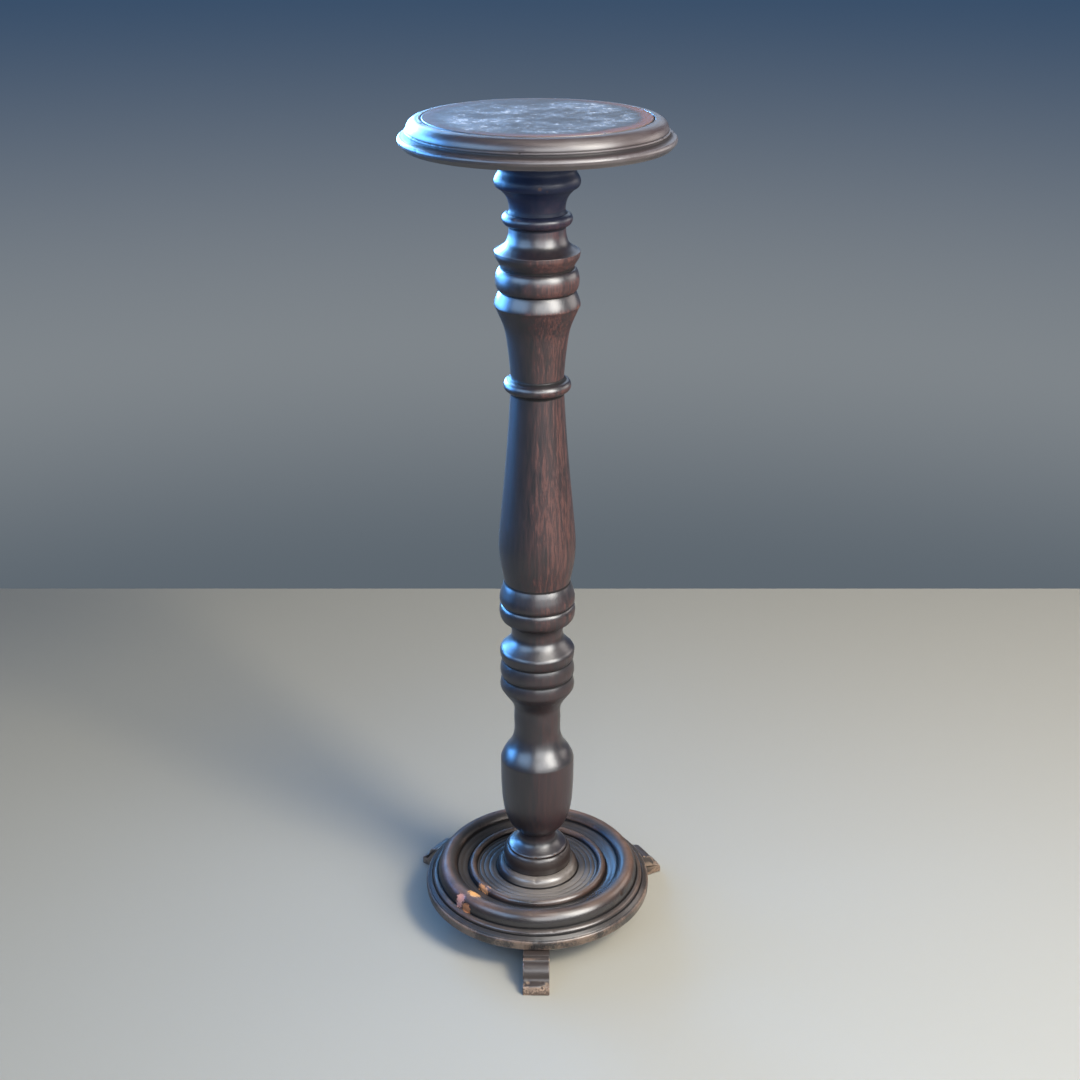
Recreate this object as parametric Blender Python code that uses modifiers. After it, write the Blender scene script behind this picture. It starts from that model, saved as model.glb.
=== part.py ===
"""A turned wooden pedestal: a moulded round top on a baluster column, which
stands through a small collar on a moulded round base with three scroll feet.

Metres, +Z up. The origin is at floor level, in the middle of the rectangle
that the stand covers from above, and the first foot points along -Y. Every
piece is its own closed solid.
"""
from math import cos, pi, radians, sin

import bpy

# Driving dimensions, in millimetres. GAP parts two pieces that touch.
GAP = 0.3
HEIGHT = 1000.0
TOP_RADIUS = 147.5
TOP_THICKNESS = 29.5
COLUMN_RADIUS = 45.0
BASE_RADIUS = 141.7
BASE_TOP = 72.8
BASE_UNDERSIDE = 35.6
COLLAR_TOP = 96.0
FOOT_REACH = 180.0
FOOT_WIDTH = 32.0
FOOT_AZIMUTHS = {"foot_front": -90.5, "foot_right": 29.0, "foot_left": 144.0}

# Sides of the round pieces.
BOARD_SIDES = 40
COLUMN_SIDES = 28

# Top board, from the middle out and down: (radius, height).
FIELD_EDGE = (121.4, HEIGHT)
FIELD_QUIRK = (122.0, HEIGHT - 1.7)
LIP_INNER = (122.9, HEIGHT - 0.9)
LIP = (126.4, HEIGHT - 0.8)
OVOLO_FOOT = (138.3, HEIGHT - 12.6)
LEDGE = (139.7, HEIGHT - 13.1)
LEDGE_FOOT = (139.7, HEIGHT - 14.5)
COVE_TOP = (139.0, HEIGHT - 15.1)
COVE_FOOT = (144.3, HEIGHT - 18.6)
NOSE = (TOP_RADIUS, HEIGHT - 22.2)
NOSE_UNDER = (146.9, HEIGHT - 24.6)
TOP_UNDER_EDGE = (142.8, HEIGHT - TOP_THICKNESS)

# Column, from the top down: (radius, height).
COLUMN_TOP = (36.0, HEIGHT - TOP_THICKNESS - GAP)
CAP_SHOULDER = (41.4, 956.0)
CAP_BAND = (41.6, 950.0)
CAP_GROOVE = (40.6, 948.0)
CAP_ROLL = (46.6, 933.0)
CAP_ROLL_FOOT = (42.0, 926.3)
CAP_COVE = [(42.0, 926.3), (35.0, 919.0), (30.9, 909.0), (30.2, 902.5)]
CAP_RING_TOP = (31.8, 899.3)
CAP_RING = (38.3, 893.0)
CAP_RING_FOOT = (31.6, 885.8)
BELL = [(30.8, 884.8), (32.0, 873.5), (36.6, 864.2), (43.6, 859.4)]
BELL_ARRIS = (46.8, 858.0)
BELL_FILLET = (46.8, 855.2)
UPPER_GROOVE = (40.2, 839.6)
LOWER_GROOVE = (41.2, 814.5)
UPPER_BEAD_RISE = 5.4
LOWER_BEAD_RISE = 1.4
LOWER_BEAD_ARRIS = (47.3, 797.6)
LOWER_BEAD_FOOT = (46.0, 795.2)
NECK_TAPER = [(46.0, 795.2), (37.0, 773.0), (32.8, 748.0), (29.7, 714.5)]
NECK_RING_TOP = (33.0, 712.4)
NECK_RING = (38.0, 706.2)
NECK_RING_FOOT = (32.2, 699.6)
VASE = [(30.2, 697.0), (31.5, 675.0), (34.1, 638.0), (38.9, 583.0), (41.6, 555.0),
        (43.9, 530.0), (44.9, 511.0), (43.7, 492.0), (38.6, 464.4)]
VASE_BEAD_FOOT = (41.8, 435.8)
VASE_BEAD_RISE = 3.6
SECOND_BEAD = (45.0, 427.0)
SECOND_BEAD_FOOT = (39.4, 414.4)
KNOT_NECK = (30.6, 397.0)
KNOT_FLARE = [(30.6, 395.6), (34.0, 387.0), (39.8, 380.8), (43.4, 377.4), (44.8, 374.0)]
KNOT_BEAD_FOOT = (41.5, 362.3)
KNOT_BAND_FOOT = (42.2, 339.9)
KNOT_BAND_RISE = 2.0
KNOT_LAST_FOOT = (42.0, 320.0)
KNOT_LAST_RISE = 2.2
SHANK = [(39.4, 316.2), (34.0, 308.8), (29.6, 300.5), (28.4, 280.0), (29.6, 254.5),
         (35.2, 242.6), (40.8, 236.0), (43.8, 230.2), (44.8, 224.2)]
URN = [(44.8, 224.2), (COLUMN_RADIUS, 205.0), (44.4, 182.0), (42.8, 161.0),
       (39.2, 144.0), (34.0, 131.6), (28.3, 124.3)]
NECK_TOP = (24.4, 122.0)
TRUMPET = [(22.9, 117.6), (22.8, 110.4), (25.2, 105.0), (30.6, 100.8), (36.4, 97.8)]
COLUMN_FOOT = (36.8, COLLAR_TOP + GAP)

# Collar, from the top down.
COLLAR_EDGE = (36.4, COLLAR_TOP)
COLLAR_BULGE = (42.4, 81.0)
COLLAR_FOOT = (41.4, BASE_TOP + GAP)

# Base, from the middle out and down.
DOME_EDGE = (43.4, BASE_TOP)
DOME_SHOULDER = (48.6, 63.0)
DOME_FOOT = (49.0, 61.8)
SEAT_EDGE = (77.2, 61.6)
RIDGE = (82.0, 67.2)
RIDGE_OUTER = (87.0, 61.0)
RIDGE_QUIRK = (87.8, 59.6)
VALLEY = (88.8, 60.2)
VALLEY_EDGE = (101.0, 65.6)
TORUS_FOOT = (102.4, 66.4)
TORUS = (114.5, 74.4)
TORUS_OUTER = (126.2, 58.4)
TORUS_QUIRK = (126.7, 56.8)
RIM_BEAD_TOP = (127.8, 57.3)
RIM_BEAD_FOOT = (133.2, 53.2)
RIM_QUIRK = (133.7, 51.6)
RIM_TOP = (135.0, 52.0)
RIM_SHOULDER = (140.6, 48.2)
RIM = (BASE_RADIUS, 45.0)
RIM_UNDER = (141.4, 38.0)
RIM_CHAMFER = (139.6, BASE_UNDERSIDE)

# Foot, seen from the side: (reach from the column's axis, height).
FOOT_TOP = BASE_UNDERSIDE - GAP
FOOT_INNER = 72.0
TENON_DEPTH = 5.0
FOOT_HEEL = 150.0
SCROLL_START = (147.2, FOOT_TOP)
SCROLL_QUIRK = (148.6, 33.4)
SCROLL_TOP = (150.2, 34.0)
SCROLL_END = (167.6, 19.0)
HOLLOW_END = (171.6, 13.4)
TOE_TOP = (176.4, 11.0)
TOE_TIP = (FOOT_REACH - 0.2, 5.0)
TOE_SOLE = (FOOT_REACH, 0.0)
ARCH_END = (FOOT_INNER, FOOT_TOP - TENON_DEPTH)


class Turning:
    """Outline of a turned piece, cut from the top down, as (radius, height)."""

    def __init__(self, *start):
        self.points = list(start)

    def line(self, *points):
        """Straight cuts from point to point."""
        self.points += points
        return self

    def over(self, end, steps=4):
        """Quarter ellipse that leaves level and ends upright."""
        (r0, z0), (r1, z1) = self.points[-1], end
        turns = [pi / 2 * i / steps for i in range(1, steps + 1)]
        self.points += [(r0 + (r1 - r0) * sin(t), z0 + (z1 - z0) * (1 - cos(t))) for t in turns]
        return self

    def under(self, end, steps=4):
        """Quarter ellipse that leaves upright and ends level."""
        (r0, z0), (r1, z1) = self.points[-1], end
        turns = [pi / 2 * i / steps for i in range(1, steps + 1)]
        self.points += [(r0 + (r1 - r0) * (1 - cos(t)), z0 + (z1 - z0) * sin(t)) for t in turns]
        return self

    def wave(self, end, steps=4):
        """Half a cosine: leaves upright, ends upright."""
        (r0, z0), (r1, z1) = self.points[-1], end
        parts = [i / steps for i in range(1, steps + 1)]
        self.points += [(r0 + (r1 - r0) * (1 - cos(pi * s)) / 2, z0 + (z1 - z0) * s)
                        for s in parts]
        return self

    def bead(self, end, rise, steps=6):
        """A soft bead between two grooves: the chord plus half a sine."""
        (r0, z0), (r1, z1) = self.points[-1], end
        parts = [i / steps for i in range(1, steps + 1)]
        self.points += [(r0 + (r1 - r0) * s + rise * sin(pi * s), z0 + (z1 - z0) * s)
                        for s in parts]
        return self

    def sweep(self, stations, steps=3):
        """A smooth curve through stations: cubics with the mean slope at each."""
        slopes = station_slopes(stations)
        if self.points[-1] != stations[0]:
            self.points.append(stations[0])
        for (r0, z0), (r1, z1), m0, m1 in zip(stations, stations[1:], slopes, slopes[1:]):
            run = z1 - z0
            for i in range(1, steps + 1):
                s = i / steps
                radius = ((2 * s**3 - 3 * s**2 + 1) * r0 + (s**3 - 2 * s**2 + s) * run * m0
                          + (3 * s**2 - 2 * s**3) * r1 + (s**3 - s**2) * run * m1)
                self.points.append((radius, z0 + run * s))
        return self


def station_slopes(stations):
    """Change of radius with height at each station of a sweep."""
    chords = [(r1 - r0) / (z1 - z0) for (r0, z0), (r1, z1) in zip(stations, stations[1:])]
    runs = [abs(z1 - z0) for (r0, z0), (r1, z1) in zip(stations, stations[1:])]
    inner = [(a * h1 + b * h0) / (h0 + h1)
             for a, b, h0, h1 in zip(chords, chords[1:], runs, runs[1:])]
    return [chords[0]] + inner + [chords[-1]]


def clear_scene():
    for item in list(bpy.data.objects):
        bpy.data.objects.remove(item, do_unlink=True)


def stained_wood(name, color, roughness):
    material = bpy.data.materials.new(name)
    material.use_nodes = True
    shader = material.node_tree.nodes["Principled BSDF"]
    shader.inputs["Base Color"].default_value = (*color, 1.0)
    shader.inputs["Roughness"].default_value = roughness
    shader.inputs["Metallic"].default_value = 0.0
    material.diffuse_color = (*color, 1.0)
    return material


def metres(value):
    return value / 1000.0


def turned(name, outline, sides, material, collection):
    """A closed solid of revolution about the Z axis from its outline."""
    top, bottom = outline[0][1], outline[-1][1]
    rim = [(0.0, top)] + outline + [(0.0, bottom)]
    verts = [(metres(r), 0.0, metres(z)) for r, z in rim]
    edges = [(i, i + 1) for i in range(len(verts) - 1)]
    mesh = bpy.data.meshes.new(name)
    mesh.from_pydata(verts, edges, [])
    piece = bpy.data.objects.new(name, mesh)
    collection.objects.link(piece)
    lathe = piece.modifiers.new("lathe", "SCREW")
    lathe.axis = "Z"
    lathe.angle = radians(360.0)
    lathe.steps = sides
    lathe.render_steps = sides
    lathe.use_merge_vertices = True
    lathe.merge_threshold = 0.00001
    lathe.use_smooth_shade = True
    piece.data.materials.append(material)
    return piece


def top_outline():
    cut = Turning(FIELD_EDGE).line(FIELD_QUIRK, LIP_INNER, LIP)
    cut.over(OVOLO_FOOT, 4).line(LEDGE, LEDGE_FOOT, COVE_TOP)
    cut.under(COVE_FOOT, 2).over(NOSE, 2)
    cut.line(NOSE_UNDER, TOP_UNDER_EDGE)
    return cut.points


def column_outline():
    cut = Turning(COLUMN_TOP).line(CAP_SHOULDER, CAP_BAND, CAP_GROOVE)
    cut.wave(CAP_ROLL, 3).under(CAP_ROLL_FOOT, 2).sweep(CAP_COVE, 1)
    cut.line(CAP_RING_TOP).over(CAP_RING, 2).under(CAP_RING_FOOT, 2)
    cut.sweep(BELL, 1).line(BELL_ARRIS, BELL_FILLET)
    cut.wave(UPPER_GROOVE, 3).bead(LOWER_GROOVE, UPPER_BEAD_RISE, 4)
    cut.bead(LOWER_BEAD_ARRIS, LOWER_BEAD_RISE, 2).sweep(NECK_TAPER, 1)
    cut.line(NECK_RING_TOP).over(NECK_RING, 2).under(NECK_RING_FOOT, 2)
    cut.sweep(VASE, 1).bead(VASE_BEAD_FOOT, VASE_BEAD_RISE, 5)
    cut.over(SECOND_BEAD, 2).under(SECOND_BEAD_FOOT, 2)
    cut.over(KNOT_NECK, 2).sweep(KNOT_FLARE, 1)
    cut.under(KNOT_BEAD_FOOT, 2)
    cut.bead(KNOT_BAND_FOOT, KNOT_BAND_RISE, 3).bead(KNOT_LAST_FOOT, KNOT_LAST_RISE, 2)
    cut.sweep(SHANK, 1).sweep(URN, 1).line(NECK_TOP).sweep(TRUMPET, 1).line(COLUMN_FOOT)
    return cut.points


def collar_outline():
    return Turning(COLLAR_EDGE).over(COLLAR_BULGE, 4).line(COLLAR_FOOT).points


def base_outline():
    cut = Turning(DOME_EDGE).over(DOME_SHOULDER, 3).line(DOME_FOOT, SEAT_EDGE)
    cut.under(RIDGE, 2).over(RIDGE_OUTER, 2)
    cut.line(RIDGE_QUIRK, VALLEY, VALLEY_EDGE, TORUS_FOOT)
    cut.under(TORUS, 3).over(TORUS_OUTER, 4).line(TORUS_QUIRK)
    cut.line(RIM_BEAD_TOP).over(RIM_BEAD_FOOT, 2).line(RIM_QUIRK)
    cut.line(RIM_TOP, RIM_SHOULDER, RIM, RIM_UNDER, RIM_CHAMFER)
    return cut.points


def foot_outline():
    """Side of a foot: tenon top, scroll, hollow, toe, sole and arch, as a loop."""
    scroll = Turning(SCROLL_START).line(SCROLL_QUIRK, SCROLL_TOP).over(SCROLL_END, 5)
    scroll.under(HOLLOW_END, 4).line(TOE_TOP, TOE_TIP, TOE_SOLE)
    heel = (FOOT_HEEL, 0.0)
    arch = Turning(heel).under(ARCH_END, 6)
    return scroll.points + arch.points + [(FOOT_INNER, FOOT_TOP)]


def foot(name, azimuth, material, collection):
    """A sawn bracket foot: its outline cut from a board and set on end."""
    outline = foot_outline()
    curve = bpy.data.curves.new(name, "CURVE")
    curve.dimensions = "2D"
    curve.fill_mode = "BOTH"
    curve.extrude = metres(FOOT_WIDTH) / 2
    spline = curve.splines.new("POLY")
    spline.points.add(len(outline) - 1)
    for point, (reach, height) in zip(spline.points, outline):
        point.co = (metres(reach), metres(height), 0.0, 1.0)
    spline.use_cyclic_u = True
    piece = bpy.data.objects.new(name, curve)
    piece.rotation_euler = (pi / 2, 0.0, radians(azimuth))
    piece.data.materials.append(material)
    collection.objects.link(piece)
    return piece


def footprint_middle():
    """Middle of the rectangle that the stand covers, as seen from its axis."""
    half = FOOT_WIDTH / 2
    turns = [radians(azimuth) for azimuth in FOOT_AZIMUTHS.values()]
    toes = [(FOOT_REACH * cos(a) - side * sin(a), FOOT_REACH * sin(a) + side * cos(a))
            for a in turns for side in (-half, half)]
    across = [x for x, y in toes] + [-TOP_RADIUS, TOP_RADIUS]
    along = [y for x, y in toes] + [-TOP_RADIUS, TOP_RADIUS]
    return (min(across) + max(across)) / 2, (min(along) + max(along)) / 2


def stand_axis(collection):
    """The empty on the column's axis that carries every piece."""
    middle_x, middle_y = footprint_middle()
    axis = bpy.data.objects.new("stand_axis", None)
    axis.location = (-metres(middle_x), -metres(middle_y), 0.0)
    collection.objects.link(axis)
    return axis


def main():
    clear_scene()
    collection = bpy.data.collections.new("pedestal")
    bpy.context.scene.collection.children.link(collection)
    polish = stained_wood("polished_top", (0.055, 0.040, 0.042), 0.30)
    walnut = stained_wood("dark_column", (0.048, 0.028, 0.022), 0.32)
    collar = stained_wood("dark_collar", (0.040, 0.026, 0.022), 0.36)
    board = stained_wood("dark_base", (0.052, 0.034, 0.028), 0.36)
    bracket = stained_wood("worn_feet", (0.075, 0.046, 0.032), 0.50)
    pieces = [
        turned("top_board", top_outline(), BOARD_SIDES, polish, collection),
        turned("column", column_outline(), COLUMN_SIDES, walnut, collection),
        turned("collar", collar_outline(), COLUMN_SIDES, collar, collection),
        turned("base_board", base_outline(), BOARD_SIDES, board, collection),
    ]
    pieces += [foot(name, azimuth, bracket, collection)
               for name, azimuth in FOOT_AZIMUTHS.items()]
    axis = stand_axis(collection)
    for piece in pieces:
        piece.parent = axis


main()
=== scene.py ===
"""Looks of a tall turned stand of dark-stained wood: a moulded round base on three
scroll feet, a collar, a baluster column and a moulded round top."""
from math import cos, pi, radians, sin

import bpy
import numpy as np
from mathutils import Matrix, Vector


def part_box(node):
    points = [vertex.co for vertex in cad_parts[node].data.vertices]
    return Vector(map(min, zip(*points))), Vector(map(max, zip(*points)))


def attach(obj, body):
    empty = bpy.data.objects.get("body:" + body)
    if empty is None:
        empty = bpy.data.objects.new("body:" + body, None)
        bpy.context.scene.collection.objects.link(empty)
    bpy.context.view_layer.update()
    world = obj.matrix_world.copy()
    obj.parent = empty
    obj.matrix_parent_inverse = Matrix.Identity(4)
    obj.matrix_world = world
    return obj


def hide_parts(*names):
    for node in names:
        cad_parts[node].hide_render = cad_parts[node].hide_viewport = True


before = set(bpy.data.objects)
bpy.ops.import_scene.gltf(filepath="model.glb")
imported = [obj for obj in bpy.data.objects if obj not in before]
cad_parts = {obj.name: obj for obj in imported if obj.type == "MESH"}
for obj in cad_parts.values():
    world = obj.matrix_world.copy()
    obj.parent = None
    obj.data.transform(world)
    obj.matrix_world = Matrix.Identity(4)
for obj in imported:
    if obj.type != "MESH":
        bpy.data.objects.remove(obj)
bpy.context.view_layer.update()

# Base board: one thick round of walnut, turned on its face with a low seat, a reeded dish,
# a ridge, a broad torus and a beaded rim, stained near black and lacquered. The lacquer is
# rubbed through on the crests, and three knocks at the left front show bare wood.
MM = 0.001
column_low, column_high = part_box("column")
AXIS = ((column_low.x + column_high.x) / 2, (column_low.y + column_high.y) / 2)
EDGE_EASE = 0.3
CREST_REACH = 2.5
PROUD = 0.12


class Outline:
    """A turner's outline, cut from the top down: rows of (radius, height) in millimetres,
    about spacing apart."""

    def __init__(self, radius, height, spacing):
        self.points = np.array([[radius, height]], float)
        self.spacing = spacing

    def run(self, end, across, down, least, coarse=1, swell=(0.0, 0.0)):
        """Adds a run to end, in least steps or more. across and down give the share of the
        way at each step, and swell is added times half a sine. A step close to each end
        eases the edge."""
        start = self.points[-1]
        length = np.hypot(*(np.array(end) - start))
        steps = max(least, int(np.ceil(length / (coarse * self.spacing))))
        share = np.linspace(0, 1, steps + 1)[1:]
        if length > 4 * EDGE_EASE:
            ease = EDGE_EASE / length
            share = np.unique(np.concatenate([share, [ease, 1 - ease]]))
        way = np.stack([across(share), down(share)], 1)
        bulge = np.sin(pi * share)[:, None] * np.array(swell)
        self.points = np.vstack([self.points, start + (end - start) * way + bulge])
        return self

    def line(self, *ends):
        """Straight cuts."""
        for end in ends:
            self.run(end, lambda s: s, lambda s: s, least=1, coarse=4)
        return self

    def over(self, end):
        """Quarter ellipse that leaves level and ends upright."""
        return self.run(end, lambda s: np.sin(pi / 2 * s), lambda s: 1 - np.cos(pi / 2 * s), least=7)

    def under(self, end):
        """Quarter ellipse that leaves upright and ends level."""
        return self.run(end, lambda s: 1 - np.cos(pi / 2 * s), lambda s: np.sin(pi / 2 * s), least=7)

    def wave(self, end):
        """Half a cosine that leaves and ends upright."""
        return self.run(end, lambda s: (1 - np.cos(pi * s)) / 2, lambda s: s, least=7)

    def bead(self, end, rise):
        """Half an ellipse on the chord, rise out from the axis."""
        def share(s):
            return (1 - np.cos(pi * s)) / 2

        return self.run(end, share, share, least=12, swell=(rise, 0.0))

    def reed(self, end, lift):
        """The chord plus half a sine, lift high."""
        return self.run(end, lambda s: s, lambda s: s, least=5, swell=(0.0, lift))

    def sweep(self, *stations):
        """Cubics through the stations, with the mean slope of radius on height at each."""
        knots = np.vstack([self.points[-1], np.array(stations, float)])
        runs = np.diff(knots[:, 1])
        chords = np.diff(knots[:, 0]) / runs
        inner = (chords[:-1] * runs[1:] + chords[1:] * runs[:-1]) / (runs[1:] + runs[:-1])
        slopes = np.concatenate([chords[:1], inner, chords[-1:]])
        for start, end, leave, land in zip(knots, knots[1:], slopes, slopes[1:]):
            gap, drop = end[0] - start[0], end[1] - start[1]
            steps = max(3, int(np.ceil(np.hypot(gap, drop) / self.spacing)))
            s = np.linspace(0, 1, steps + 1)[1:]
            radius = (start[0] + gap * (3 * s**2 - 2 * s**3)
                      + drop * leave * (s**3 - 2 * s**2 + s) + drop * land * (s**3 - s**2))
            self.points = np.vstack([self.points, np.stack([radius, start[1] + drop * s], 1)])
        return self


def outward(points):
    """Unit normals of an outline: its direction of travel, turned a quarter to the left."""
    travel = np.gradient(points, axis=0)
    normal = np.stack([-travel[:, 1], travel[:, 0]], 1)
    return normal / np.linalg.norm(normal, axis=1, keepdims=True)


def crests(points):
    """How proud each point stands: its height over the middle of the two points CREST_REACH
    before and after it along the outline, over CREST_REACH. Hollows are negative."""
    along = np.concatenate([[0], np.cumsum(np.hypot(*np.diff(points, axis=0).T))])

    def at(place):
        return np.stack([np.interp(place, along, points[:, k]) for k in (0, 1)], 1)

    middle = (at(along - CREST_REACH) + at(along + CREST_REACH)) / 2
    return np.sum((points - middle) * outward(points), axis=1) / CREST_REACH


def knocks(place, marks):
    """Depth of the knocks at each point, in metres: for each mark, depth times a bell
    curve of the distance to (turn in degrees, radius, height), over its reach."""
    depth = np.zeros(place.shape[:-1])
    for turn, radius, height, reach, deep in marks:
        centre = np.array([radius * cos(radians(turn)), radius * sin(radians(turn)), height]) * MM
        away = np.linalg.norm(place - centre, axis=-1) / (reach * MM)
        depth += deep * MM * np.exp(-away**2)
    return depth


def dings(outline, count, seed, reach, deep):
    """Small knocks scattered over the proud edges of an outline, with a fixed seed: each
    up to reach wide and deep into the wood, in millimetres."""
    draw = np.random.default_rng(seed)
    proud = outline.points[crests(outline.points) > PROUD]
    marks = []
    for _ in range(count):
        radius, height = proud[draw.integers(len(proud))]
        share = draw.uniform(0.5, 1.0)
        marks.append((draw.uniform(0, 360), radius, height, reach * (0.6 + share), deep * share))
    return marks


def mesh_piece(name, verts, faces, **readings):
    """A smooth-shaded mesh object from points and faces, with a reading at each point."""
    mesh = bpy.data.meshes.new(name)
    mesh.from_pydata(verts.tolist(), [], faces)
    mesh.shade_smooth()
    for key, values in readings.items():
        attribute = mesh.attributes.new(key, "FLOAT", "POINT")
        attribute.data.foreach_set("value", values.astype(np.float32).ravel())
    piece = bpy.data.objects.new(name, mesh)
    bpy.context.scene.collection.objects.link(piece)
    return piece


def turned(name, outline, sides, marks, shrink):
    """The outline swung about the stand's axis: each row becomes a ring at x = radius times
    cosine and y = radius times sine of the turn, closed by one point on the axis at each
    end. The wood has shrunk by the share shrink across the grain, along Y."""
    points = outline.points
    turns = np.arange(sides) * 2 * pi / sides
    radius, height = points[:, :1] * MM, points[:, 1:] * MM
    place = np.stack([radius * np.cos(turns), radius * np.sin(turns), height + 0 * turns], -1)
    normal = outward(points)
    facing = np.stack([normal[:, :1] * np.cos(turns), normal[:, :1] * np.sin(turns),
                       normal[:, 1:] + 0 * turns], -1)
    dent = knocks(place, marks)
    place = place - facing * dent[..., None]
    place[..., 1] *= 1 - shrink
    place[..., :2] += AXIS
    rows = len(points)
    poles = np.array([[*AXIS, points[0, 1] * MM], [*AXIS, points[-1, 1] * MM]])
    verts = np.vstack([place.reshape(-1, 3), poles])
    ring = np.arange(sides)
    after = (ring + 1) % sides
    upper = np.arange(rows - 1)[:, None] * sides
    quads = np.stack([upper + ring, upper + sides + ring, upper + sides + after, upper + after], -1)
    top_pole, bottom_pole, foot = rows * sides, rows * sides + 1, (rows - 1) * sides
    top_cap = np.stack([0 * ring + top_pole, ring, after], -1)
    bottom_cap = np.stack([0 * ring + bottom_pole, foot + after, foot + ring], -1)
    faces = quads.reshape(-1, 4).tolist() + top_cap.tolist() + bottom_cap.tolist()
    crest = np.append(np.repeat(crests(points), sides), [0, 0])
    scar = np.append(dent / MM, [0, 0])
    return mesh_piece(name, verts, faces, crest=crest, scar=scar)


class Wire:
    """A shader socket that can be reckoned with: 1 - wire adds its Math node."""

    def __init__(self, tree, socket):
        self.tree = tree
        self.socket = socket

    def math(self, operation, *values):
        """A Math node over wires and plain numbers."""
        node = self.tree.nodes.new("ShaderNodeMath")
        node.operation = operation
        for slot, value in zip(node.inputs, values):
            if isinstance(value, Wire):
                self.tree.links.new(value.socket, slot)
            else:
                slot.default_value = value
        return Wire(self.tree, node.outputs[0])

    def __add__(self, other):
        return self.math("ADD", self, other)

    def __sub__(self, other):
        return self.math("SUBTRACT", self, other)

    def __rsub__(self, other):
        return self.math("SUBTRACT", other, self)

    def __mul__(self, other):
        return self.math("MULTIPLY", self, other)

    def __truediv__(self, other):
        return self.math("DIVIDE", self, other)

    def __pow__(self, other):
        return self.math("POWER", self, other)

    def __neg__(self):
        return self.math("MULTIPLY", self, -1.0)

    def __abs__(self):
        return self.math("ABSOLUTE", self)

    __radd__ = __add__
    __rmul__ = __mul__


class Wiring:
    """Lays nodes in one node tree and joins them."""

    def __init__(self, tree):
        self.tree = tree

    def node(self, kind, settings=(), sockets=(), output=0):
        """A node of that kind: its settings first, then each socket's value or wire."""
        node = self.tree.nodes.new(kind)
        for key, value in dict(settings).items():
            setattr(node, key, value)
        for key, value in dict(sockets).items():
            if isinstance(value, Wire):
                self.tree.links.new(value.socket, node.inputs[key])
            else:
                node.inputs[key].default_value = value
        return Wire(self.tree, node.outputs[output])

    def axes(self, coordinates):
        """The three parts of a vector."""
        return [self.node("ShaderNodeSeparateXYZ", {}, {0: coordinates}, k) for k in range(3)]

    def rise(self, wire, low, high):
        """0 under low, 1 over high, eased between."""
        return self.node("ShaderNodeMapRange", {"interpolation_type": "SMOOTHSTEP"},
                         {"Value": wire, "From Min": low, "From Max": high})

    def blend(self, mask, under, over):
        """Colour under where mask is 0, over where it is 1. A colour Mix node takes its
        colours at sockets 6 and 7 and gives the result at 2."""
        return self.node("ShaderNodeMix", {"data_type": "RGBA"}, {0: mask, 6: under, 7: over}, 2)


LACQUER_IOR = 1.65


class Finish(Wiring):
    """A finish over Object coordinates, built up layer by layer."""

    def __init__(self, name):
        self.material = bpy.data.materials.new(name)
        self.material.use_nodes = True
        super().__init__(self.material.node_tree)
        self.shader = self.tree.nodes["Principled BSDF"]

    def place(self, stretch=(1, 1, 1), drift=0.0):
        """Coordinates from the stand's axis, stretched and moved on by drift."""
        shift = [drift - AXIS[0] * stretch[0], drift - AXIS[1] * stretch[1], drift]
        return self.node("ShaderNodeMapping", {"vector_type": "POINT"},
                         {"Vector": self.node("ShaderNodeTexCoord", output=3),
                          "Location": shift, "Scale": stretch})

    def polar(self):
        """Distance from the stand's axis, and height."""
        x, y, z = self.axes(self.place())
        return (x * x + y * y) ** 0.5, z

    def facing(self, turn):
        """1 on the side at that turn, -1 on the far side."""
        x, y, _ = self.axes(self.place())
        reach, _ = self.polar()
        return (x * cos(radians(turn)) + y * sin(radians(turn))) / reach

    def noise(self, coordinates, scale, detail, rough, warp=0.0):
        """Fractal noise of about scale lumps per metre."""
        return self.node("ShaderNodeTexNoise", {},
                         {"Vector": coordinates, "Scale": scale, "Detail": detail,
                          "Roughness": rough, "Distortion": warp})

    def band(self, reach, middle, width):
        """1 at that distance from the axis, falling to 0 at width to either side, in mm."""
        return 1 - self.rise(abs(reach - middle * MM), 0.25 * width * MM, width * MM)

    def reading(self, name):
        """The mesh's own reading at each point."""
        return self.node("ShaderNodeAttribute", {"attribute_name": name}, output=2)

    def upward(self):
        """The height of the surface's normal: 1 where it faces up."""
        return self.axes(self.node("ShaderNodeNewGeometry", output=1))[2]

    def walnut(self, stretch, drift):
        """Pores, figure and patches of a walnut plank: stretch squeezes it along the grain
        and drift picks the spot."""
        grain = self.place(stretch, drift)
        pores = self.noise(grain, 700, 4, 0.7)
        figure = self.noise(grain, 240, 4, 0.6, 0.15)
        patch = self.noise(self.place((1, 1, 1), drift), 30, 5, 0.62)
        return pores, figure, patch

    def wear(self, color, roughness, height, deep, lacquer, shine=0.35, haze=0.34):
        """Joins the worked-out colour, roughness, height and lacquer to the shader. The
        height is deep millimetres high, shine is the bare wood's own gleam and haze the
        lacquer's dullness."""
        normal = self.node("ShaderNodeBump", {}, {"Height": height, "Strength": 0.6,
                                                  "Distance": deep * MM})
        for key, wire in (("Base Color", color), ("Roughness", roughness),
                          ("Normal", normal), ("Coat Weight", lacquer)):
            self.tree.links.new(wire.socket, self.shader.inputs[key])
        self.shader.inputs["Specular IOR Level"].default_value = shine
        self.shader.inputs["Coat Roughness"].default_value = haze
        self.shader.inputs["Coat IOR"].default_value = LACQUER_IOR


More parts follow.
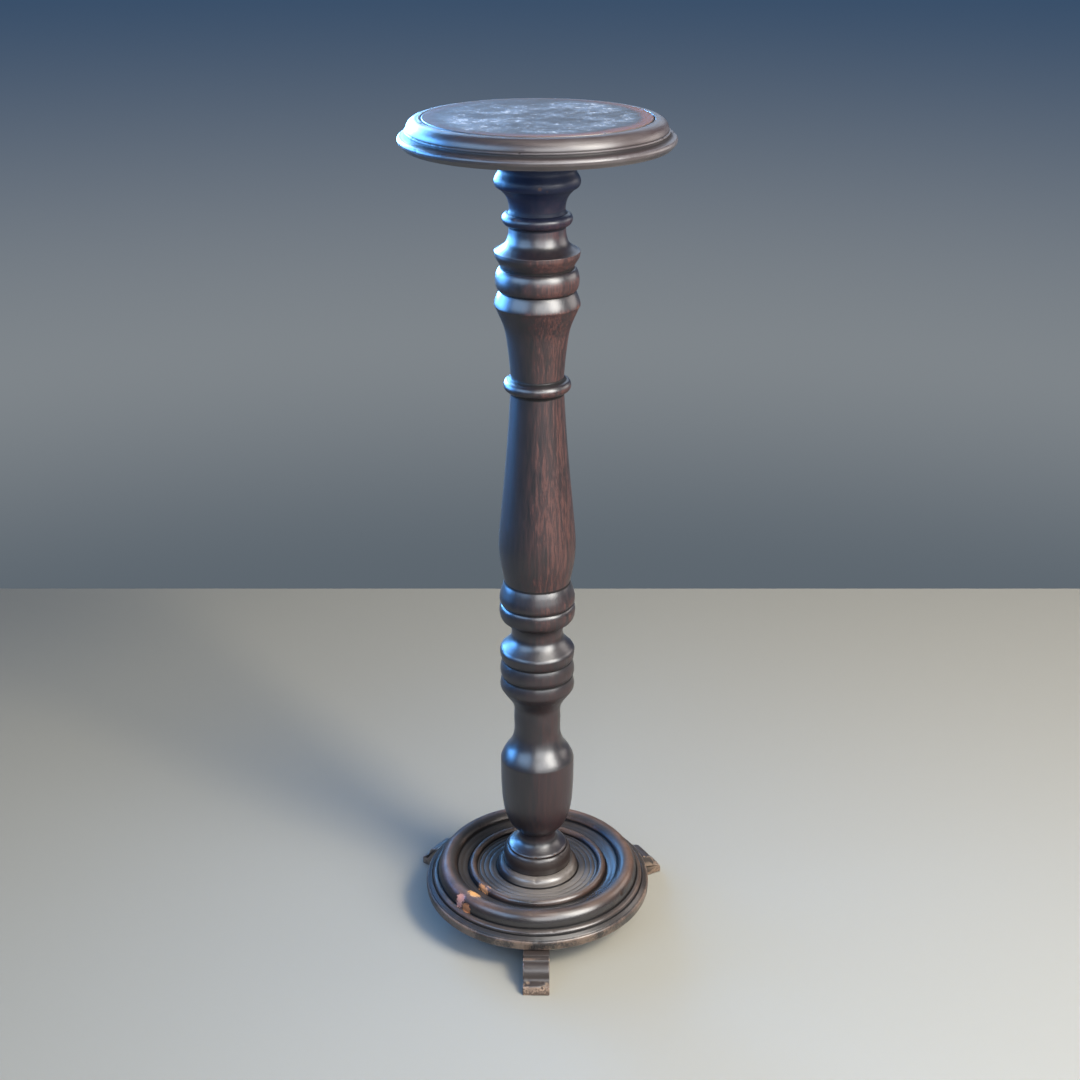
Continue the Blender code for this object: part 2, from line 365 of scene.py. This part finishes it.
# Turn in degrees, then radius, height, reach and depth in millimetres.
BASE_KNOCKS = [
    (-140, 122.5, 69.5, 4.5, 0.9),
    (-134, 110.5, 73.8, 4.5, 0.7),
    (-141, 84.8, 66.0, 3.8, 0.9),
    (-33, 123.5, 66.0, 2.8, 1.3),
]
base_line = Outline(0.4, 72.8, 1.4).line((43.4, 72.8)).over((51.4, 62.4)).line((51.8, 61.2))
base_line.reed((55.6, 61.5), 0.2).reed((61.2, 61.2), 0.4).line((61.6, 60.6), (62.0, 61.1))
base_line.reed((67.6, 61.1), 0.35).line((68.0, 60.6), (68.4, 61.0)).reed((73.2, 61.1), 0.35)
base_line.line((73.6, 60.6), (74.0, 61.1)).reed((77.2, 61.5), 0.2).under((82.0, 67.2))
base_line.over((87.0, 61.0)).line((87.8, 59.6), (88.8, 60.2)).reed((95.0, 62.8), 0.25)
base_line.reed((101.4, 65.4), 0.35).line((102.4, 66.2)).under((114.3, 74.4)).over((126.2, 58.4))
base_line.line((126.7, 56.8), (127.8, 57.3)).over((133.2, 53.2)).line((133.8, 51.6), (135.0, 52.0))
base_line.line((138.8, 49.5), (139.3, 48.4), (140.0, 48.5)).over((141.7, 45.0))
base_line.line((141.4, 38.0), (139.6, 35.6), (60.0, 35.6))
base_dings = dings(base_line, count=60, seed=3, reach=1.9, deep=0.55)
base_board = turned("base_board_wood", base_line, 480, BASE_KNOCKS + base_dings, shrink=0.001)
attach(base_board, "root")
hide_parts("base_board")

ALONG_X = (0.05, 1, 1)
TORUS_RADIUS = 117.0
RIDGE_RADIUS = 84.5
RIM_SPAN = (0.1375, 0.1410)
DISH_EDGE = (0.0800, 0.0850)
LIT_TURN = -72
# Turn in degrees, radius and half lengths round and out in millimetres, colour.
BARE_FLAKES = [
    (-140, 123.6, 8.0, 5.2, (0.345, 0.165, 0.135, 1)),
    (-134, 126.4, 8.0, 2.6, (0.225, 0.090, 0.038, 1)),
    (-134.5, 110.5, 11.0, 6.5, (0.390, 0.203, 0.075, 1)),
    (-141, 85.8, 12.0, 3.0, (0.315, 0.143, 0.060, 1)),
    (-137, 81.6, 6.0, 1.2, (0.270, 0.128, 0.060, 1)),
]
base_wood = Finish("dark base wood")
pores, figure, patch = base_wood.walnut(ALONG_X, 0.0)
crest = base_wood.reading("crest")
scar = base_wood.reading("scar")
reach, _ = base_wood.polar()
broad = base_wood.noise(base_wood.place(), 10, 2, 0.5)
speck = base_wood.noise(base_wood.place(), 420, 4, 0.65)
streak = pores * 0.5 + figure * 0.5
color = base_wood.blend(streak, (0.0030, 0.0026, 0.0028, 1), (0.0155, 0.0120, 0.0115, 1))
blotch = base_wood.rise(patch + speck * 0.25 + broad * 0.4, 0.66, 0.98)
front = base_wood.rise(base_wood.facing(LIT_TURN), 0.25, 0.95)
torus_worn = base_wood.band(reach, TORUS_RADIUS, 8.5) * (0.35 + 0.65 * blotch) * (1 - front * 0.6)
color = base_wood.blend(torus_worn * 0.8, color, (0.115, 0.062, 0.044, 1))
ridge_worn = base_wood.band(reach, RIDGE_RADIUS, 4.5) * blotch
color = base_wood.blend(ridge_worn * (0.5 - front * 0.3), color, (0.072, 0.031, 0.020, 1))
rubbed = base_wood.rise(crest + patch * 0.6 + speck * 0.3 + broad * 0.3, 0.66, 1.02)
color = base_wood.blend(rubbed * (0.6 - front * 0.35), color, (0.090, 0.052, 0.038, 1))
rim_worn = base_wood.rise(reach, *RIM_SPAN) * base_wood.rise(patch + speck * 0.5, 0.62, 0.88)
color = base_wood.blend(rim_worn * 0.65, color, (0.125, 0.085, 0.063, 1))
# Darkens the hollows and creases of the outline: dirt, and painted shade in them.
dirt_and_shade = base_wood.rise(-crest, 0.05, 0.30)
color = base_wood.blend(dirt_and_shade * 0.85, color, (0.0024, 0.0018, 0.0018, 1))
# Pale grey on the upward faces: dust, and partly a painted sheen.
dust_and_sheen = base_wood.rise(base_wood.upward(), 0.62, 0.98) * (0.3 + 0.7 * patch) * (1 - dirt_and_shade)
color = base_wood.blend(dust_and_sheen * 0.3, color, (0.070, 0.063, 0.058, 1))
in_dish = 1 - base_wood.rise(reach, *DISH_EDGE)
# Painted sheen: the dish is painted pale grey on its lit front side, standing in for highlights.
painted_sheen = front * in_dish * (0.35 + 0.65 * figure) * (1 - dirt_and_shade)
color = base_wood.blend(painted_sheen * 0.8, color, (0.135, 0.121, 0.114, 1))
x, y, _ = base_wood.axes(base_wood.place())
for turn, middle, wide, deep, tone in BARE_FLAKES:
    out = (x * cos(radians(turn)) + y * sin(radians(turn)) - middle * MM) / (deep * MM)
    side = (y * cos(radians(turn)) - x * sin(radians(turn))) / (wide * MM)
    flake = base_wood.rise((out * out + side * side) ** 0.5 + speck * 1.9 + patch * 0.6, 2.15, 1.85)
    color = base_wood.blend(flake * 0.92, color, tone)
chip = base_wood.rise(scar, 0.22, 0.5)
roughness = 0.34 + patch * 0.2 + dirt_and_shade * 0.25 + dust_and_sheen * 0.12 + chip * 0.2
lacquer = (0.05 + front * 0.95 + patch * 0.15) * (1 - dirt_and_shade * 0.8) * (1 - chip)
base_relief = streak + speck * 0.4 - dirt_and_shade * 0.3
base_wood.wear(color, roughness, base_relief, 0.35, lacquer, shine=0.15, haze=0.26)
base_board.data.materials.append(base_wood.material)

# Feet: three brackets sawn from a walnut board, each with a ledge, a quirk, a small bead, a
# scroll and a hollow down to a blunt toe. They are let in under the base board, and floors
# and brooms have worn their toes bare.
FOOT_AZIMUTHS = {"foot_front": -90.5, "foot_right": 29.0, "foot_left": 144.0}
FOOT_HALF_WIDTH = 16.0
FOOT_ROUNDING = 1.2
EDGE_STEPS = 5
FLAT_STEPS = 27
TOE_RADIUS = 170.0
TOE_CHIPS = 16
DEEPEST_CHIP = 1.6
SOLE = 0.3
foot_side = Outline(148.4, 35.3, 0.8).line((148.7, 33.4), (149.3, 31.9), (150.2, 31.8), (150.7, 33.0))
foot_side.over((154.6, 31.2)).line((155.0, 30.3), (156.0, 30.8)).over((167.8, 18.8))
foot_side.under((171.9, 13.6)).line((176.6, 12.3), (178.4, 10.6), (179.2, 5.0), (179.0, 0.5))
foot_side.line((178.4, 0.0), (150.0, 0.0)).under((72.0, 30.3)).line((72.0, 35.3), (148.2, 35.3))


def bracket(name, azimuth, outline, half, rounding, seed):
    """A sawn bracket: its outline is carried across the board's thickness, drawn in by
    rounding times one less cosine where it turns over, at rounding times sine past the
    flat stretch. Chips near the toe draw it in further, by bell curves of the distance."""
    points = outline.points
    travel = np.roll(points, -1, 0) - np.roll(points, 1, 0)
    inward = np.stack([travel[:, 1], -travel[:, 0]], 1)
    inward = inward / np.linalg.norm(inward, axis=1, keepdims=True)
    bend = np.linspace(0, pi / 2, EDGE_STEPS)
    offset = half - rounding + rounding * np.sin(bend)
    middle = np.linspace(-1, 1, FLAT_STEPS)[1:-1] * offset[0]
    across = np.concatenate([-offset[::-1], middle, offset])
    drawn = rounding * (1 - np.cos(bend))
    pinch = np.concatenate([drawn[::-1], 0 * middle, drawn])
    place = points[None] + inward[None] * pinch[:, None, None]
    side = across[:, None] + 0 * place[..., 0]
    draw = np.random.default_rng(seed)
    toe = points[(points[:, 0] > TOE_RADIUS) & (points[:, 1] > SOLE)]
    chips = np.zeros(side.shape)
    for _ in range(TOE_CHIPS):
        spot = toe[draw.integers(len(toe))]
        seat = draw.choice([-1, 1]) * half * draw.uniform(0.1, 1.0) ** 0.4
        away = np.hypot(np.hypot(place[..., 0] - spot[0], place[..., 1] - spot[1]), side - seat)
        chips += draw.uniform(0.3, 0.9) * np.exp(-(away / draw.uniform(1.4, 3.2)) ** 2)
    chips = np.minimum(chips, DEEPEST_CHIP) * (place[..., 1] > SOLE)
    place = place + inward[None] * chips[..., None]
    turn = radians(azimuth)
    x = (place[..., 0] * cos(turn) - side * sin(turn)) * MM + AXIS[0]
    y = (place[..., 0] * sin(turn) + side * cos(turn)) * MM + AXIS[1]
    verts = np.stack([x, y, np.maximum(place[..., 1], 0) * MM], -1).reshape(-1, 3)
    count = len(points)
    ring = np.arange(count)
    after = (ring + 1) % count
    lower = np.arange(len(across) - 1)[:, None] * count
    quads = np.stack([lower + ring, lower + after, lower + count + after, lower + count + ring], -1)
    last = (len(across) - 1) * count
    faces = quads.reshape(-1, 4).tolist() + [ring[::-1].tolist(), (last + ring).tolist()]
    edge = np.abs(across)[:, None] > half - 0.8 * rounding
    return mesh_piece(name, verts, faces, crest=crests(points)[None] + 0.35 * edge, scar=chips)


TOE_SPAN = (0.1825, 0.1845)
foot_wood = Finish("worn foot wood")
pores, figure, patch = foot_wood.walnut(ALONG_X, 0.31)
crest = foot_wood.reading("crest")
scar = foot_wood.reading("scar")
reach, height = foot_wood.polar()
speck = foot_wood.noise(foot_wood.place(), 380, 4, 0.65)
streak = pores * 0.5 + figure * 0.5
color = foot_wood.blend(streak, (0.006, 0.0048, 0.0048, 1), (0.036, 0.026, 0.023, 1))
rubbed = foot_wood.rise(crest + patch * 0.6 + speck * 0.3, 0.72, 1.04)
color = foot_wood.blend(rubbed * 0.6, color, (0.225, 0.150, 0.105, 1))
toe_worn = foot_wood.rise(reach + patch * 0.008 + speck * 0.004, *TOE_SPAN)
color = foot_wood.blend(toe_worn * 0.85, color, (0.195, 0.139, 0.109, 1))
bare = foot_wood.rise(scar + speck * 0.4, 0.45, 0.8)
color = foot_wood.blend(bare * 0.4, color, (0.255, 0.188, 0.143, 1))
# Darker towards the floor, in speckled patches, and in the hollows: dirt, and painted shade in the
# hollows.
dirt_and_shade = foot_wood.rise(speck + patch * 0.5 - height * 14, 0.60, 0.74) + foot_wood.rise(-crest, 0.1, 0.4)
color = foot_wood.blend(dirt_and_shade * 0.7, color, (0.017, 0.0096, 0.006, 1))
lacquer = 0.6 * (1 - toe_worn * 0.7) * (1 - bare)
roughness = 0.42 + patch * 0.2 + toe_worn * 0.2
foot_wood.wear(color, roughness, streak + speck * 0.6, 0.5, lacquer)
for seed, (node_name, azimuth) in enumerate(FOOT_AZIMUTHS.items(), 21):
    foot = bracket(node_name + "_wood", azimuth, foot_side, FOOT_HALF_WIDTH, FOOT_ROUNDING, seed)
    foot.data.materials.append(foot_wood.material)
    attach(foot, "root")
    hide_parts(node_name)

# Collar: a small turned cushion of the same wood, slipped between column and base. Its
# joint with the column has opened; it and the seat crease are painted near black, as dirt and painted
# shade.
collar_line = Outline(1.0, 96.0, 1.2).line((36.4, 96.0)).over((42.4, 81.0)).line((41.4, 73.1), (1.0, 73.1))
collar_dings = dings(collar_line, count=6, seed=5, reach=1.8, deep=0.35)
collar = turned("collar_wood", collar_line, 200, collar_dings, shrink=0.001)
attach(collar, "root")
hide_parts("collar")

OPEN_JOINT = (0.0970, 0.0980)
SEAT_CREASE = (0.0735, 0.0745)
collar_wood = Finish("dark collar wood")
pores, figure, patch = collar_wood.walnut(ALONG_X, 0.57)
crest = collar_wood.reading("crest")
streak = pores * 0.5 + figure * 0.5
color = collar_wood.blend(streak, (0.0042, 0.003, 0.003, 1), (0.024, 0.016, 0.014, 1))
rubbed = collar_wood.rise(crest + patch * 0.7, 0.62, 0.98)
color = collar_wood.blend(rubbed * 0.5, color, (0.072, 0.041, 0.029, 1))
_, height = collar_wood.polar()
# Near black in the open joint and in the crease at the seat: dirt, and painted shade.
dirt_and_shade = collar_wood.rise(height + patch * 0.004, *OPEN_JOINT) + 1 - collar_wood.rise(height, *SEAT_CREASE)
color = collar_wood.blend(dirt_and_shade, color, (0.0018, 0.0012, 0.0012, 1))
lacquer = (0.5 + patch * 0.4) * (1 - dirt_and_shade)
roughness = 0.34 + patch * 0.16 + dirt_and_shade * 0.3
collar_wood.wear(color, roughness, streak, 0.35, lacquer, shine=0.25, haze=0.28)
collar.data.materials.append(collar_wood.material)

# Column: one long baluster turning of walnut, from the cap down to the trumpet foot. Hands
# and cloths have rubbed the lacquer thin along the grain, most on the right.
column_line = Outline(1.0, 970.2, 2.4).line((36.0, 970.2), (41.4, 956.0), (41.6, 950.0), (40.6, 948.0))
column_line.wave((46.6, 933.0)).under((42.0, 926.3))
column_line.sweep((35.0, 919.0), (30.9, 909.0), (30.2, 902.5)).line((31.8, 899.3))
column_line.over((38.3, 893.0)).under((31.6, 885.8)).line((30.8, 884.8))
column_line.sweep((32.0, 873.5), (36.6, 864.2), (43.6, 859.4)).line((46.8, 858.0), (46.8, 855.2))
column_line.wave((40.2, 839.6)).bead((41.2, 814.5), 5.4).bead((47.3, 797.6), 1.4)
column_line.line((46.0, 795.2)).sweep((37.0, 773.0), (32.8, 748.0), (29.7, 714.5))
column_line.line((33.0, 712.4)).over((38.0, 706.2)).under((32.2, 699.6)).line((30.2, 697.0))
column_line.sweep((31.5, 675.0), (34.1, 638.0), (38.9, 583.0), (41.6, 555.0), (43.9, 530.0),
                  (44.9, 511.0), (43.7, 492.0), (38.6, 464.4))
column_line.sweep((40.8, 459.0), (42.6, 453.0), (44.0, 447.5), (44.6, 443.0), (44.2, 439.0),
                  (41.8, 435.8))
column_line.over((45.0, 427.0)).under((39.4, 414.4)).over((30.6, 397.0))
column_line.sweep((30.6, 395.6), (34.0, 387.0), (39.8, 380.8), (43.4, 377.4), (44.8, 374.0))
column_line.under((41.5, 362.3))
column_line.sweep((42.9, 358.6), (44.0, 354.2), (44.6, 349.5), (44.3, 344.5), (42.0, 339.9))
column_line.sweep((43.3, 336.3), (44.3, 332.2), (44.7, 328.2), (44.1, 323.8), (41.8, 320.0))
column_line.sweep((39.4, 316.2), (34.0, 308.8), (29.6, 300.5), (28.4, 280.0), (29.6, 254.5),
                  (34.6, 242.6), (39.7, 235.4), (43.0, 229.4), (44.9, 224.6)).line((45.0, 223.6))
column_line.sweep((45.0, 205.0), (44.4, 182.0), (42.8, 161.0), (39.2, 144.0), (34.0, 131.6),
                  (28.3, 124.3)).line((27.6, 123.4), (24.4, 122.0))
column_line.sweep((22.9, 117.6), (22.8, 110.4), (25.2, 105.0), (30.6, 100.8), (36.4, 97.8))
column_line.line((36.8, 96.5), (1.0, 96.3))
column_dings = dings(column_line, count=46, seed=11, reach=1.8, deep=0.4)
column = turned("column_wood", column_line, 192, column_dings, shrink=0.002)
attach(column, "root")
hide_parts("column")

ALONG_Z = (1, 1, 0.028)
RUBBED_TURN = -43
GRIP_SPAN = (0.30, 0.46)
TOP_SHADOW_SPAN = (0.855, 0.935)
column_wood = Finish("dark column wood")
pores, figure, patch = column_wood.walnut(ALONG_Z, 0.13)
crest = column_wood.reading("crest")
scar = column_wood.reading("scar")
speck = column_wood.noise(column_wood.place(), 300, 4, 0.65)
broad = column_wood.noise(column_wood.place((1, 1, 0.4), 0.2), 14, 3, 0.5)
streak = pores * 0.6 + figure * 0.4
grain = column_wood.rise(streak, 0.36, 0.66)
# Real grain; its dark tone is tinted blue, a painted cast of the blue light.
color = column_wood.blend(grain, (0.0022, 0.0020, 0.0036, 1), (0.0125, 0.0078, 0.0088, 1))
handled = 0.2 + 0.8 * column_wood.rise(column_wood.facing(RUBBED_TURN), 0.0, 1.0)
rubbing = figure * 0.55 + pores * 0.45 + handled * 0.32 + broad * 0.3 + patch * 0.15
upright = 1 - column_wood.rise(column_wood.upward(), 0.14, 0.36)
undercut = column_wood.rise(-column_wood.upward(), 0.02, 0.36)
_, height = column_wood.polar()
gripped = 0.65 + 0.35 * column_wood.rise(height, *GRIP_SPAN)
thin = column_wood.rise(rubbing, 0.86, 1.12) * upright * gripped
color = column_wood.blend(thin * 0.5, color, (0.036, 0.0142, 0.0148, 1))
flecks = column_wood.rise(thin * 0.4 + pores * 0.6 + speck * 0.3, 0.76, 0.90)
color = column_wood.blend(flecks * 0.45, color, (0.075, 0.031, 0.026, 1))
rubbed = column_wood.rise(crest + patch * 0.7 + broad * 0.3, 0.80, 1.12)
color = column_wood.blend(rubbed * 0.5, color, (0.052, 0.035, 0.032, 1))
# Darkens the creases between beads: dirt, and painted shade in them.
dirt_and_shade = column_wood.rise(-crest, 0.04, 0.22)
color = column_wood.blend(dirt_and_shade * 0.9, color, (0.0020, 0.0015, 0.0015, 1))
# Painted shadow of the top board: the column just under it is painted blue-black, and its lacquer is taken
# down too.
painted_top_shadow = column_wood.rise(height, *TOP_SHADOW_SPAN)
color = column_wood.blend(painted_top_shadow * 0.9, color, (0.0008, 0.0055, 0.0240, 1))
chip = column_wood.rise(scar, 0.16, 0.3)
color = column_wood.blend(chip * 0.5, color, (0.096, 0.051, 0.033, 1))
roughness = 0.30 + patch * 0.18 + figure * 0.1 + thin * 0.1 + dirt_and_shade * 0.25 + chip * 0.2
kept = 1.0 + patch * 0.2 - thin * 0.3 - upright * 0.4 - undercut * 0.35 - painted_top_shadow * 0.8
lacquer = kept * (1 - dirt_and_shade * 0.8) * (1 - chip)
column_wood.wear(color, roughness, streak + speck * 0.2, 0.5, lacquer, shine=0.3, haze=0.31)
column.data.materials.append(column_wood.material)

# Top board: a round of walnut with a moulded edge and a raised field, which pots have
# scratched and water has bloomed milky. A quirk parts the field from its lip.
top_line = Outline(1.0, 1000.0, 1.4).line((121.0, 1000.0), (121.4, 999.6), (121.8, 997.6))
top_line.line((123.0, 997.6), (123.4, 999.0)).under((124.9, 999.5)).line((126.2, 999.2))
top_line.over((138.3, 987.4)).line((139.7, 986.9), (139.7, 985.5), (139.0, 984.9))
top_line.under((144.3, 981.4)).over((147.5, 977.8)).line((146.9, 975.4), (142.8, 970.5), (1.0, 970.5))
# Turn in degrees, then radius, height, reach and depth in millimetres.
TOP_SCRATCHES = [
    (-168.0, 131.5, 996.6, 1.7, 0.55),
    (-166.3, 133.6, 994.8, 1.5, 0.60),
    (-164.8, 135.2, 993.0, 1.6, 0.55),
    (-170.5, 134.2, 994.2, 1.6, 0.50),
    (-172.4, 136.0, 991.8, 1.8, 0.50),
    (-162.6, 137.0, 990.0, 1.5, 0.50),
]
top_dings = dings(top_line, count=40, seed=17, reach=1.9, deep=0.45)
top_board = turned("top_board_wood", top_line, 640, TOP_SCRATCHES + top_dings, shrink=0.001)
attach(top_board, "root")
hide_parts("top_board")

SUNNED_TURN = -30
FIELD_TOP = (0.9996, 0.9999)
FIELD_EDGE = (0.112, 0.122)
BLOOM_EDGE = (0.108, 0.126)
top_wood = Finish("polished top wood")
pores, figure, patch = top_wood.walnut(ALONG_X, 0.77)
crest = top_wood.reading("crest")
scar = top_wood.reading("scar")
reach, height = top_wood.polar()
speck = top_wood.noise(top_wood.place(), 260, 4, 0.65)
streak = pores * 0.5 + figure * 0.5
color = top_wood.blend(streak, (0.0030, 0.0030, 0.0040, 1), (0.0145, 0.0125, 0.0150, 1))
sunned = top_wood.rise(top_wood.facing(SUNNED_TURN), -0.35, 0.95)
field_edge = top_wood.rise(reach + patch * 0.014, *FIELD_EDGE)
thin = field_edge * top_wood.rise(figure * 0.5 + pores * 0.3 + sunned * 0.3 + patch * 0.3, 0.40, 0.85)
field = top_wood.rise(height, *FIELD_TOP)
color = top_wood.blend(thin * (field * 0.7 + 0.12), color, (0.100, 0.046, 0.037, 1))
cloud = top_wood.noise(top_wood.place((1, 1, 1), 0.4), 26, 6, 0.66, 0.6)
scuff = top_wood.noise(top_wood.place((1, 1, 1), 0.9), 150, 5, 0.72, 1.0)
scored = top_wood.noise(top_wood.place((0.06, 1, 1), 0.2), 420, 3, 0.7, 0.6)
inner = field * (1 - top_wood.rise(reach + patch * 0.03, *BLOOM_EDGE))
# Milky water bloom on the field; its blue tint is a painted reflection of the blue light behind.
bloom_and_reflection = inner * top_wood.rise(cloud + scuff * 0.4, 0.56, 0.88)
color = top_wood.blend(bloom_and_reflection * 0.7, color, (0.078, 0.108, 0.155, 1))
scuffed = inner * top_wood.rise(scuff * 0.8 + cloud * 0.5 + scored * 0.45, 0.95, 1.04)
color = top_wood.blend(scuffed * 0.75, color, (0.50, 0.53, 0.60, 1))
# Worn crests of the moulding; their grey-blue tone is partly a painted cool sheen.
rubbed = top_wood.rise(crest + patch * 0.6 + sunned * 0.3, 0.62, 0.98) * (1 - field)
color = top_wood.blend(rubbed * 0.4, color, (0.064, 0.062, 0.072, 1))
# Darkens the hollows of the moulding: dirt, and painted shade in them.
dirt_and_shade = top_wood.rise(-crest, 0.05, 0.30) * (1 - field)
color = top_wood.blend(dirt_and_shade * 0.85, color, (0.0024, 0.0018, 0.0024, 1))
chip = top_wood.rise(scar, 0.2, 0.42)
color = top_wood.blend(chip * 0.85, color, (0.0072, 0.0048, 0.0048, 1))
roughness = 0.33 + patch * 0.18 + bloom_and_reflection * 0.12 + thin * 0.2 + dirt_and_shade * 0.25 + chip * 0.2
lacquer = (1 - field * 0.85 + bloom_and_reflection * 0.35) * (1 - dirt_and_shade * 0.8) * (1 - chip)
top_relief = streak + scored * 0.3 + scuff * 0.3
top_wood.wear(color, roughness, top_relief, 0.5, lacquer)
top_board.data.materials.append(top_wood.material)

# Floor, backdrop, lights and camera: a pale plain floor before a blue-grey backdrop. A warm
# key light at the right front throws the shadow and leaves no highlight. Soft panels by it
# give the highlights, blue panels light the left edges, and faint ones light the far lip.
FLOOR_SIDE = 3.0
FLOOR_BACK = 0.964
floor_mesh = bpy.data.meshes.new("floor")
floor_mesh.from_pydata([(-FLOOR_SIDE, -FLOOR_SIDE, 0), (FLOOR_SIDE, -FLOOR_SIDE, 0),
                        (FLOOR_SIDE, FLOOR_BACK, 0), (-FLOOR_SIDE, FLOOR_BACK, 0)], [], [(0, 1, 2, 3)])
floor = bpy.data.objects.new("floor", floor_mesh)
bpy.context.scene.collection.objects.link(floor)

floor_finish = Finish("pale floor")
floor_finish.shader.inputs["Base Color"].default_value = (0.188, 0.187, 0.174, 1)
floor_finish.shader.inputs["Roughness"].default_value = 0.85
floor_mesh.materials.append(floor_finish.material)

world = bpy.data.worlds.new("studio")
bpy.context.scene.world = world
world.use_nodes = True
studio = Wiring(world.node_tree)
skyward = studio.axes(studio.node("ShaderNodeTexCoord", output=0))[2]
lit_wall = studio.blend(studio.rise(skyward, -0.43, -0.28),
                        (0.110, 0.135, 0.160, 1), (0.215, 0.238, 0.258, 1))
dim_wall = studio.blend(studio.rise(skyward, -0.31, -0.05), lit_wall, (0.030, 0.068, 0.135, 1))
backdrop = studio.blend(studio.rise(skyward, 0.0, 0.3), dim_wall, (0.020, 0.050, 0.110, 1))
background = world.node_tree.nodes["Background"]
world.node_tree.links.new(backdrop.socket, background.inputs["Color"])
background.inputs["Strength"].default_value = 1.0


def softbox(name, turn, lift, away, across, tall, power, color, aim=0.5, spread=180):
    """A soft light looking at the column at height aim, in metres: turn is measured from
    the camera's side towards the right, lift above the horizon, in degrees. spread is the
    angle it shines over."""
    middle = Vector((*AXIS, aim))
    back = Vector((sin(radians(turn)) * cos(radians(lift)),
                   -cos(radians(turn)) * cos(radians(lift)), sin(radians(lift))))
    data = bpy.data.lights.new(name, "AREA")
    data.shape = "RECTANGLE"
    data.size = across
    data.size_y = tall
    data.energy = power
    data.color = color
    data.spread = radians(spread)
    lamp = bpy.data.objects.new(name, data)
    lamp.location = middle + back * away
    lamp.rotation_euler = back.to_track_quat("Z", "Y").to_euler()
    lamp.visible_camera = False
    bpy.context.scene.collection.objects.link(lamp)
    return lamp


# Name, turn, lift, distance, width, height, watts and colour, then aim and spread.
softbox("key", 46, 42, 2.6, 0.7, 0.7, 130, (1.0, 0.87, 0.64)).visible_glossy = False
softbox("glow", 50, 30, 2.4, 1.0, 1.7, 50, (1.0, 0.95, 0.86))
softbox("window", 31, 25, 2.3, 3.2, 1.5, 80, (0.96, 0.98, 1.0))
softbox("sky", -50, 30, 2.2, 1.8, 1.2, 32, (0.42, 0.66, 1.0))
softbox("right side", 112, 16, 2.0, 1.2, 1.0, 9, (1.0, 0.92, 0.86))
softbox("high", 46, 60, 2.2, 1.3, 1.3, 20, (1.0, 0.96, 0.90))
softbox("overhead", 90, 78, 2.2, 1.6, 2.4, 8, (1.0, 0.95, 0.86))
softbox("blue side", -112, 8, 1.5, 1.3, 1.0, 11, (0.12, 0.40, 1.0), 0.8, 60)
softbox("blue back", -150, 10, 1.6, 0.9, 0.9, 15, (0.18, 0.48, 1.0), 0.9, 60)
softbox("back", 178, 32, 2.4, 2.0, 1.0, 7, (0.75, 0.86, 1.0))
softbox("low back", 178, 10, 2.4, 2.2, 0.8, 0.07, (0.35, 0.62, 1.0), 0.99, 50)

PHOTO_SIZE = 1080
FOCAL_PIXELS = 1624.2
SHIFT_PIXELS = 2.7
SENSOR_WIDTH = 36.0
LOOK_DOWN = 23.818
CAMERA_AWAY = 1.7325
CAMERA_HEIGHT = 1.2803
camera_data = bpy.data.cameras.new("camera")
camera_data.sensor_width = SENSOR_WIDTH
camera_data.lens = SENSOR_WIDTH * FOCAL_PIXELS / PHOTO_SIZE
camera_data.shift_x = SHIFT_PIXELS / PHOTO_SIZE
camera = bpy.data.objects.new("camera", camera_data)
camera.location = (AXIS[0], AXIS[1] - CAMERA_AWAY, CAMERA_HEIGHT)
camera.rotation_euler = (radians(90 - LOOK_DOWN), 0, 0)
bpy.context.scene.collection.objects.link(camera)
bpy.context.scene.camera = camera
bpy.context.scene.view_settings.view_transform = "Standard"
